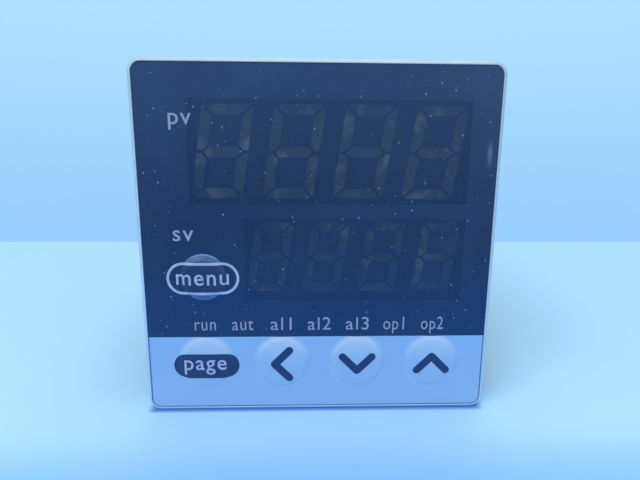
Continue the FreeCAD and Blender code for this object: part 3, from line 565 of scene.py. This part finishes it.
def keyCap(key):
    # a disc with a flat back, whose front rises over its shoulder to a low crown
    middleX, middleZ, radius, _ = caps[key]
    lip, shoulder, thickness = capShape["lip"], capShape["shoulder"], capShape["thickness"]
    middleY = filmFront - capShape["lift"] + thickness / 2
    deselectAll()
    bpy.ops.mesh.primitive_cylinder_add(
        vertices=capShape["sides"], radius=(radius + lip) * mm, depth=thickness * mm,
        rotation=(math.radians(90), 0, 0), location=(middleX * mm, middleY * mm, middleZ * mm))
    cap = settle(named(bpy.context.object, key.replace("_key", "") + "KeyCap"))
    selectFaces(cap, lambda face: face.normal.y < -0.9)
    count, crownCount = capShape["rings"], capShape["crownRings"] + 1
    rings = [radius - shoulder * ring / count for ring in range(count + 1)]
    rings += [(radius - shoulder) * (1 - ring / crownCount) for ring in range(1, crownCount)]
    before, level = radius + lip, 0.0
    for ring in rings:
        bpy.ops.mesh.inset(thickness=(before - ring) * mm)
        height = riseAt(key, middleX + ring, middleZ)
        bpy.ops.transform.translate(value=(0, (level - height) * mm, 0))
        before, level = ring, height
    bpy.ops.object.mode_set(mode="OBJECT")
    smooth(cap, capShape["smooth"])
    wear(cap, filmMaterial, None)
    pressed(cap, key)
    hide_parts(key + "_dome")


frame["nodes"]["front_film"].data.materials.clear()
frame["nodes"]["front_film"].data.materials.append(filmMaterial)
for key in keyNames:
    keyCap(key)
print("key caps raised")

ink = {"thickness": 0.01, "lift": 0.012, "grid": 0.1, "roughness": 0.4, "worn": 0.86,
       "bold": 0.006, "spread": 1.12, "curveSteps": 4, "line": 0.36}
words = {
    "pvLabel": {"text": "pv", "left": -19.15, "wide": 2.9, "foot": 15.9, "xHeight": 1.35},
    "svLabel": {"text": "sv", "left": -19.35, "wide": 2.75, "foot": 0.75, "xHeight": 1.4},
    "menuLabel": {"text": "menu", "left": -19.2, "wide": 7.1, "foot": -5.3, "xHeight": 1.45,
                  "key": "menu_key"},
    "pageLabel": {"text": "page", "left": -18.6, "wide": 5.85, "foot": -17.6, "xHeight": 1.4,
                  "key": "page_key"},
}
indicators = {"names": ["run", "aut", "al1", "al2", "al3", "op1", "op2"],
              "places": [-15.55, -10.4, -5.1, 0.2, 5.5, 10.6, 16.0],
              "wide": [2.9, 2.9, 2.9, 3.2, 3.2, 2.9, 3.1], "foot": -11.9, "xHeight": 1.2}
chevron = {"arm": 2.91, "stroke": 1.08, "drop": 0.23,
           "turns": {"left_key": 0, "down_key": 90, "up_key": -90}}


def inkFinish(name, colour):
    # screen ink with faintly worn patches
    finish = Finish(name)
    scuff = finish.noise(1.6, detail=4.0)
    worn = finish.step(scuff, 0.4, 0.7)
    shade = finish.blendColour(worn, times(colour, ink["worn"]), toLinear(*colour))
    return finish.surface(Base_Color=shade, Roughness=ink["roughness"],
                          Normal=finish.bump(scuff, 0.003, 0.3))


whiteInk = inkFinish("whiteInk", (164, 180, 218))
dimInk = inkFinish("dimInk", (146, 156, 190))
navyInk = inkFinish("navyInk", (8, 50, 108))


def gridded(thing):
    # cuts a flat mesh along a fine grid, so that it can follow a cap
    pick(thing)
    bpy.ops.object.mode_set(mode="EDIT")
    corners = [thing.matrix_world @ Vector(corner) for corner in thing.bound_box]
    for axis, normal in ((0, (1, 0, 0)), (2, (0, 0, 1))):
        low = min(corner[axis] for corner in corners)
        high = max(corner[axis] for corner in corners)
        cuts = int((high - low) / (ink["grid"] * mm))
        for cut in range(1, cuts + 1):
            place = [0.0, 0.0, 0.0]
            place[axis] = low + (high - low) * cut / (cuts + 1)
            bpy.ops.mesh.select_all(action="SELECT")
            bpy.ops.mesh.bisect(plane_co=place, plane_no=normal)
    bpy.ops.object.mode_set(mode="OBJECT")


def laid(thing, material, key=None, layer=1):
    # puts flat print on the film, or on the film and the cap that it crosses
    settle(thing)
    if key:
        gridded(thing)
    lift = ink["lift"] + layer * ink["thickness"]
    for vertex in thing.data.vertices:
        rise = riseAt(key, vertex.co.x / mm, vertex.co.z / mm) if key else 0.0
        vertex.co.y += (filmFront - lift - rise) * mm
    if key:
        wear(thing, material, None)
        pressed(thing, key, lift)
    else:
        wear(thing, material, "housing")


def flatShape(name, outlines):
    # outlines across X and Z become one thin closed plate
    curve = bpy.data.curves.new(name, "CURVE")
    curve.dimensions = "2D"
    curve.fill_mode = "BOTH"
    curve.extrude = ink["thickness"] / 2 * mm
    for outline in outlines:
        spline = curve.splines.new("POLY")
        spline.points.add(len(outline) - 1)
        for point, (across, along) in zip(spline.points, outline):
            point.co = (across * mm, along * mm, 0, 1)
        spline.use_cyclic_u = True
    thing = bpy.data.objects.new(name, curve)
    bpy.context.scene.collection.objects.link(thing)
    thing.rotation_euler = (math.radians(90), 0, 0)
    pick(thing)
    bpy.ops.object.convert(target="MESH")
    return named(bpy.context.object, name)


def arc(middleX, middleZ, radius, start, end, steps=14):
    turns = [math.radians(start + (end - start) * step / steps) for step in range(steps + 1)]
    return [(middleX + radius * math.cos(turn), middleZ + radius * math.sin(turn))
            for turn in turns]


def pillOutline(middleX, middleZ, wide, tall, inset=0.0):
    half, radius = (wide - tall) / 2, tall / 2 - inset
    right = arc(middleX + half, middleZ, radius, -90, 90)
    return right + arc(middleX - half, middleZ, radius, 90, 270)


def writing(name, word, bold=0.0):
    # a word stretched to its width and to the height of its small letters
    deselectAll()
    bpy.ops.object.text_add(rotation=(math.radians(90), 0, 0))
    text = bpy.context.object
    text.data.body = "x"
    bpy.context.view_layer.update()
    upright = word["xHeight"] * mm / text.dimensions.y
    text.data.body = word["text"]
    text.data.offset = bold
    text.data.space_character = ink["spread"]
    text.data.extrude = ink["thickness"] / 2 * mm / upright
    text.data.resolution_u = ink["curveSteps"]
    bpy.context.view_layer.update()
    low = min(corner[0] for corner in text.bound_box)
    high = max(corner[0] for corner in text.bound_box)
    stretch = word["wide"] * mm / (high - low)
    text.scale = (stretch, upright, upright)
    text.location = (word["left"] * mm - low * stretch, 0, word["foot"] * mm)
    bpy.ops.object.convert(target="MESH")
    return named(bpy.context.object, name)


def chevronOutline(middleX, middleZ, turn):
    # two round-ended strokes that meet at a right angle, pointing along -X before the turn
    half = chevron["stroke"] / 2
    reach = chevron["arm"] * math.sqrt(0.5)
    outline = arc(reach, reach, half, -45, 135, 10) + arc(0, 0, half, 135, 225, 6)
    outline += arc(reach, -reach, half, 225, 405, 10) + [(half * math.sqrt(2), 0.0)]
    spin = Matrix.Rotation(math.radians(turn), 2)
    centred = [spin @ Vector((across - reach / 2, along)) for across, along in outline]
    return [(middleX + point.x, middleZ + point.y) for point in centred]


def addPrint():
    # words, lamp names, the two key outlines and the arrows
    for name, word in words.items():
        onKey = "key" in word
        label = writing(name, word, ink["bold"])
        laid(label, whiteInk if onKey else dimInk, word.get("key"), 2 if onKey else 1)
    for text, middle, wide in zip(indicators["names"], indicators["places"], indicators["wide"]):
        word = {"text": text, "left": middle - wide / 2, "wide": wide,
                "foot": indicators["foot"], "xHeight": indicators["xHeight"]}
        laid(writing(text + "Label", word), dimInk)
    ring = [pillOutline(*pills["menu"]), pillOutline(*pills["menu"], inset=ink["line"])]
    laid(flatShape("menuPillLine", ring), whiteInk, "menu_key")
    laid(flatShape("pagePill", [pillOutline(*pills["page"])]), navyInk, "page_key")
    for key, turn in chevron["turns"].items():
        middleX, middleZ, _, _ = caps[key]
        outline = chevronOutline(middleX, middleZ - chevron["drop"], turn)
        laid(flatShape(key.replace("_key", "") + "Chevron", [outline]), navyInk, key)


addPrint()
print("front printed")

# plastics, metals and boards, with their patterns in millimetres
# foot is bluer as painted reflection of the table; head and rim grey the lit top as painted shade
bezel = {"foot": (158, 200, 242), "head": (172, 196, 206), "rim": (168, 185, 193),
         "mottle": (182, 208, 228), "mottleShare": 0.2, "plate": (20, 34, 58),
         "plateIn": 0.2, "plateBehind": 0.2, "rimFrom": 1.2, "rimFull": 0.5, "roughness": 0.34}
board = {"resist": (12, 74, 40), "track": (28, 112, 62), "net": 1.27, "halfTrack": 0.16,
         "relief": 0.03, "roughness": 0.35}
# the paler colour is painted highlight along each turn, the wire colour darker in the painted
# shade between turns
winding = {"wire": (110, 52, 22), "gap": (196, 112, 56), "pitch": 0.5, "relief": -0.1}
ahead = 50    # moves the repeated lines of boards and wire along


def moulded(name, colour, roughness=0.5, grain=3.0, depth=0.02):
    # moulded plastic: fine spark grain over a faint mottle
    finish = Finish(name)
    mottle = finish.step(finish.noise(0.12, detail=4.0), 0.3, 0.7)
    shade = finish.blendColour(mottle, times(colour, 0.88), times(colour, 1.12))
    speckle = finish.noise(grain, detail=2.0)
    return finish.surface(Base_Color=shade, Roughness=roughness - 0.06 + speckle * 0.12,
                          Normal=finish.bump(speckle, depth, 0.5))


def bezelFinish():
    # pale moulded plastic, bluer towards its foot as painted reflection of the table, greyer along
    # its top as painted shade, and dark on the plate behind the film
    finish = Finish("bezelPlastic")
    across, deep, up = finish.axes()
    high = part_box("front_bezel")[1].z / mm
    # painted reflection low, painted shade high
    height = finish.step(up, -high, high * 0.9)
    pale = finish.blendColour(height, toLinear(*bezel["foot"]), toLinear(*bezel["head"]))
    # painted shade greys the top edge
    rim = finish.step(up, high - bezel["rimFrom"], high - bezel["rimFull"])
    pale = finish.blendColour(rim, pale, toLinear(*bezel["rim"]))
    mottle = finish.step(finish.noise(0.1, detail=4.0), 0.3, 0.7) * bezel["mottleShare"]
    pale = finish.blendColour(mottle, pale, toLinear(*bezel["mottle"]))
    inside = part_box("front_film")[1].x / mm - bezel["plateIn"]
    behind = ((finish.maths("MAXIMUM", abs(across), abs(up)) < inside)
              * (deep > filmFront + bezel["plateBehind"]))
    shade = finish.blendColour(behind, pale, toLinear(*bezel["plate"]))
    speckle = finish.noise(3.5, detail=2.0)
    return finish.surface(Base_Color=shade, Roughness=bezel["roughness"] + speckle * 0.12,
                          Normal=finish.bump(speckle, 0.008, 0.5))


def plated(name, colour, roughness):
    # bright plating with faint drawn lines and duller patches
    finish = Finish(name)
    across, deep, up = finish.axes()
    lines = finish.node("CombineXYZ", n0=across * 0.6, n1=deep * 0.6, n2=up * 9.0)
    drawn = finish.noise(1.0, vector=lines)
    patch = finish.noise(0.5, detail=4.0)
    dull = finish.step(patch, 0.45, 0.7)
    shade = finish.blendColour(dull, toLinear(*colour), times(colour, 0.75))
    return finish.surface(Base_Color=shade, Metallic=1.0, Roughness=roughness + patch * 0.15,
                          Normal=finish.bump(drawn, 0.004, 0.4))


def boardFinish():
    # green solder resist with paler tracks along two directions
    finish = Finish("circuitBoard")
    _, deep, up = finish.axes()
    net, half = board["net"], board["halfTrack"]
    lineA = abs(((up + ahead) % net) - net / 2) < half
    lineB = abs(((deep + ahead) % (net * 3)) - net / 2) < half
    chance = finish.noise(0.4, detail=1.0) > 0.5
    tracks = finish.maths("MAXIMUM", lineA * chance, lineB * (1 - chance))
    shade = finish.blendColour(tracks, toLinear(*board["resist"]), toLinear(*board["track"]))
    return finish.surface(Base_Color=shade, Roughness=board["roughness"],
                          Normal=finish.bump(tracks, board["relief"], 0.5))


def windingFinish():
    # turns of enamelled wire laid side by side, each lighter along its middle as painted highlight
    # and darker where it meets the next as painted shade
    finish = Finish("copperWinding")
    across, _, _ = finish.axes()
    pitch = winding["pitch"]
    # painted highlight in each turn's middle, painted shade at the grooves
    turn = abs(((across + ahead) % pitch) - pitch / 2) * (2 / pitch)
    shade = finish.blendColour(turn, toLinear(*winding["gap"]), toLinear(*winding["wire"]))
    return finish.surface(Base_Color=shade, Metallic=0.8, Roughness=0.35,
                          Normal=finish.bump(turn, winding["relief"], 0.7))


def resinFinish(name, colour, pale):
    # cast resin with paler clouds at random, painted highlight standing in for the brighter ends
    # of segments and lamps
    finish = Finish(name)
    cloud = finish.noise(0.32, detail=2.0)
    # paler clouds at random, as painted highlight
    share = finish.step(cloud, 0.5, 0.72)
    shade = finish.blendColour(share, toLinear(*colour), toLinear(*pale))
    return finish.surface(Base_Color=shade, Roughness=0.6, Normal=finish.bump(cloud, 0.02, 0.3))


finishes = {
    "bezel_plastic": bezelFinish(),
    "gasket_rubber": moulded("gasketRubber", (42, 43, 46), 0.8, 2.0, 0.03),
    "display_plastic": moulded("displayPlastic", (34, 36, 40), 0.6, 3.0, 0.01),
    "segment_resin": resinFinish("segmentResin", (92, 98, 62), (168, 170, 134)),
    "lamp_resin": resinFinish("lampResin", (150, 150, 132), (190, 188, 168)),
    "switch_plastic": moulded("switchPlastic", (40, 40, 42)),
    "stem_plastic": moulded("stemPlastic", (58, 58, 60), 0.45),
    "circuit_board": boardFinish(),
    "header_plastic": moulded("headerPlastic", (34, 34, 34)),
    "ferrite": moulded("ferriteCore", (52, 53, 56), 0.55, 5.0),
    "bobbin_plastic": moulded("bobbinPlastic", (48, 46, 44)),
    "copper_winding": windingFinish(),
    "relay_plastic": moulded("relayPlastic", (36, 82, 146), 0.35, 4.0, 0.005),
    "can_aluminium": plated("canAluminium", (196, 198, 202), 0.32),
    "chip_plastic": moulded("chipPlastic", (30, 30, 32), 0.55, 6.0, 0.01),
    "case_plastic": moulded("casePlastic", (62, 65, 70), 0.5, 2.6, 0.025),
    "terminal_plastic": moulded("terminalPlastic", (44, 45, 48), 0.45, 3.0, 0.015),
    "plated_brass": plated("tinnedBrass", (214, 208, 188), 0.28),
    "plated_steel": plated("zincSteel", (206, 208, 212), 0.26),
    "bracket_plastic": moulded("bracketPlastic", (56, 58, 62), 0.45, 2.8),
}
for row in frame["record"]["subparts"]:
    node = frame["nodes"][row["node"]]
    if row["material_slot"] in finishes:
        node.data.materials.clear()
        node.data.materials.append(finishes[row["material_slot"]])

easing = {"segments": 2, "sharp": 38, "merge": 0.0005, "flat": 0.5, "bezelFrom": 23.0}


def eased(node, name, width, slotName, body="housing", outside=0.0):
    # the node's own form with its sharp edges eased, where they lie outside a square about
    # the middle; where there is such a square, the flat faces keep their cuts
    source = frame["nodes"][node]
    thing = bpy.data.objects.new(name, source.data.copy())
    bpy.context.scene.collection.objects.link(thing)
    pick(thing)
    bpy.ops.object.mode_set(mode="EDIT")
    bpy.ops.mesh.select_all(action="SELECT")
    bpy.ops.mesh.remove_doubles(threshold=easing["merge"] * mm)
    if not outside:
        bpy.ops.mesh.dissolve_limited(angle_limit=math.radians(easing["flat"]))
    bpy.ops.mesh.select_mode(type="EDGE")
    bpy.ops.mesh.select_all(action="DESELECT")
    bpy.ops.mesh.edges_select_sharp(sharpness=math.radians(easing["sharp"]))
    bpy.ops.object.mode_set(mode="OBJECT")
    places = [max(abs(vertex.co.x), abs(vertex.co.z)) / mm for vertex in thing.data.vertices]
    for edge in thing.data.edges:
        nearest = min(places[corner] for corner in edge.vertices)
        edge.select = edge.select and nearest >= outside
    bpy.ops.object.mode_set(mode="EDIT")
    bpy.ops.mesh.bevel(offset=width * mm, segments=easing["segments"], affect="EDGES",
                       clamp_overlap=True)
    bpy.ops.mesh.select_mode(type="VERT")
    bpy.ops.object.mode_set(mode="OBJECT")
    smooth(thing)
    wear(thing, finishes[slotName], body)
    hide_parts(node)


eased("front_bezel", "bezelMoulding", 0.12, "bezel_plastic", outside=easing["bezelFrom"])
eased("panel_gasket", "gasketRing", 0.15, "gasket_rubber")
eased("case", "caseSleeve", 0.1, "case_plastic")
eased("terminal_block", "terminalMoulding", 0.12, "terminal_plastic")
eased("terminal_washers", "clampWashers", 0.07, "plated_steel")
eased("mounting_bracket", "bracketFrame", 0.14, "bracket_plastic", "bracket")
print("edges of the mouldings eased")

screws = {"columns": 3, "rows": 6, "columnPitch": 13.5, "rowPitch": 7.0, "headRadius": 2.68,
          "headSides": 40, "shankRadius": 1.45, "shankSides": 24, "slotWidth": 0.75,
          "slotLength": 4.0, "crossLength": 3.0, "slotDepth": 1.05, "edge": 0.45,
          "edgeSegments": 4, "seed": 4}


def rod(name, sides, radius, start, end):
    deselectAll()
    bpy.ops.mesh.primitive_cylinder_add(
        vertices=sides, radius=radius * mm, depth=end - start,
        location=(0, (end + start) / 2, 0), rotation=(math.radians(-90), 0, 0))
    return settle(named(bpy.context.object, name))


def terminalScrew():
    # one pan-headed screw with a combined slot and cross
    low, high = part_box("terminal_screws")
    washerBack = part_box("terminal_washers")[1].y
    head = rod("screwHead", screws["headSides"], screws["headRadius"], washerBack, high.y)
    selectFaces(head, lambda face: face.normal.y > 0.9)
    bpy.ops.mesh.bevel(offset=screws["edge"] * mm, segments=screws["edgeSegments"],
                       affect="EDGES")
    bpy.ops.object.mode_set(mode="OBJECT")
    for wide, long in (("slotWidth", "slotLength"), ("crossLength", "slotWidth")):
        deselectAll()
        bpy.ops.mesh.primitive_cube_add(size=1, location=(0, high.y, 0))
        cutter = bpy.context.object
        cutter.scale = (screws[wide] * mm, 2 * screws["slotDepth"] * mm, screws[long] * mm)
        settle(cutter)
        pick(head)
        recess = head.modifiers.new("Recess", "BOOLEAN")
        recess.operation = "DIFFERENCE"
        recess.object = cutter
        bpy.ops.object.modifier_apply(modifier=recess.name)
        bpy.data.objects.remove(cutter)
    shank = rod("screwShank", screws["shankSides"], screws["shankRadius"], low.y, washerBack)
    smooth(shank)
    smooth(head)
    return joined([head, shank], "terminalScrew")


def screwPlaces():
    # across and up, row by row from the foot
    for row in range(screws["rows"]):
        for column in range(screws["columns"]):
            yield ((column - (screws["columns"] - 1) / 2) * screws["columnPitch"],
                   (row - (screws["rows"] - 1) / 2) * screws["rowPitch"])


def addScrews():
    # each screw has stopped at its own turn
    first = terminalScrew()
    luck = random.Random(screws["seed"])
    copies = []
    for across, along in screwPlaces():
        copy = bpy.data.objects.new("screwCopy", first.data.copy())
        bpy.context.scene.collection.objects.link(copy)
        copy.rotation_euler = (0, math.radians(luck.uniform(0, 180)), 0)
        copy.location = (across * mm, 0, along * mm)
        copies.append(settle(copy))
    bpy.data.objects.remove(first)
    whole = joined(copies, "terminalScrews")
    wear(whole, finishes["plated_steel"], "housing")
    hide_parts("terminal_screws")


addScrews()
print("terminal screws fitted")

numbers = {"height": 1.9, "raise": 0.15, "aside": 4.9, "below": 0.7, "plateThickness": 0.8,
           "curveSteps": 3, "colour": (150, 152, 156)}


def addNumbers():
    # raised terminal numbers on the block's floor, read from behind and down each column
    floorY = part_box("terminal_plates")[1].y / mm - numbers["plateThickness"]
    digits = []
    inOrder = sorted(screwPlaces(), key=lambda place: (-place[0], -place[1]))
    for count, (across, along) in enumerate(inOrder, 1):
        place = (across - numbers["aside"], floorY, along - numbers["below"])
        deselectAll()
        bpy.ops.object.text_add(location=[part * mm for part in place],
                                rotation=(math.radians(90), 0, math.radians(180)))
        text = bpy.context.object
        text.data.body = str(count)
        text.data.align_x = "CENTER"
        text.data.size = numbers["height"] * mm
        text.data.extrude = numbers["raise"] * mm
        text.data.resolution_u = numbers["curveSteps"]
        bpy.ops.object.convert(target="MESH")
        digits.append(settle(bpy.context.object))
    whole = joined(digits, "terminalNumbers")
    wear(whole, moulded("paleNumbers", numbers["colour"]), "housing")


addNumbers()
print("terminals numbered")
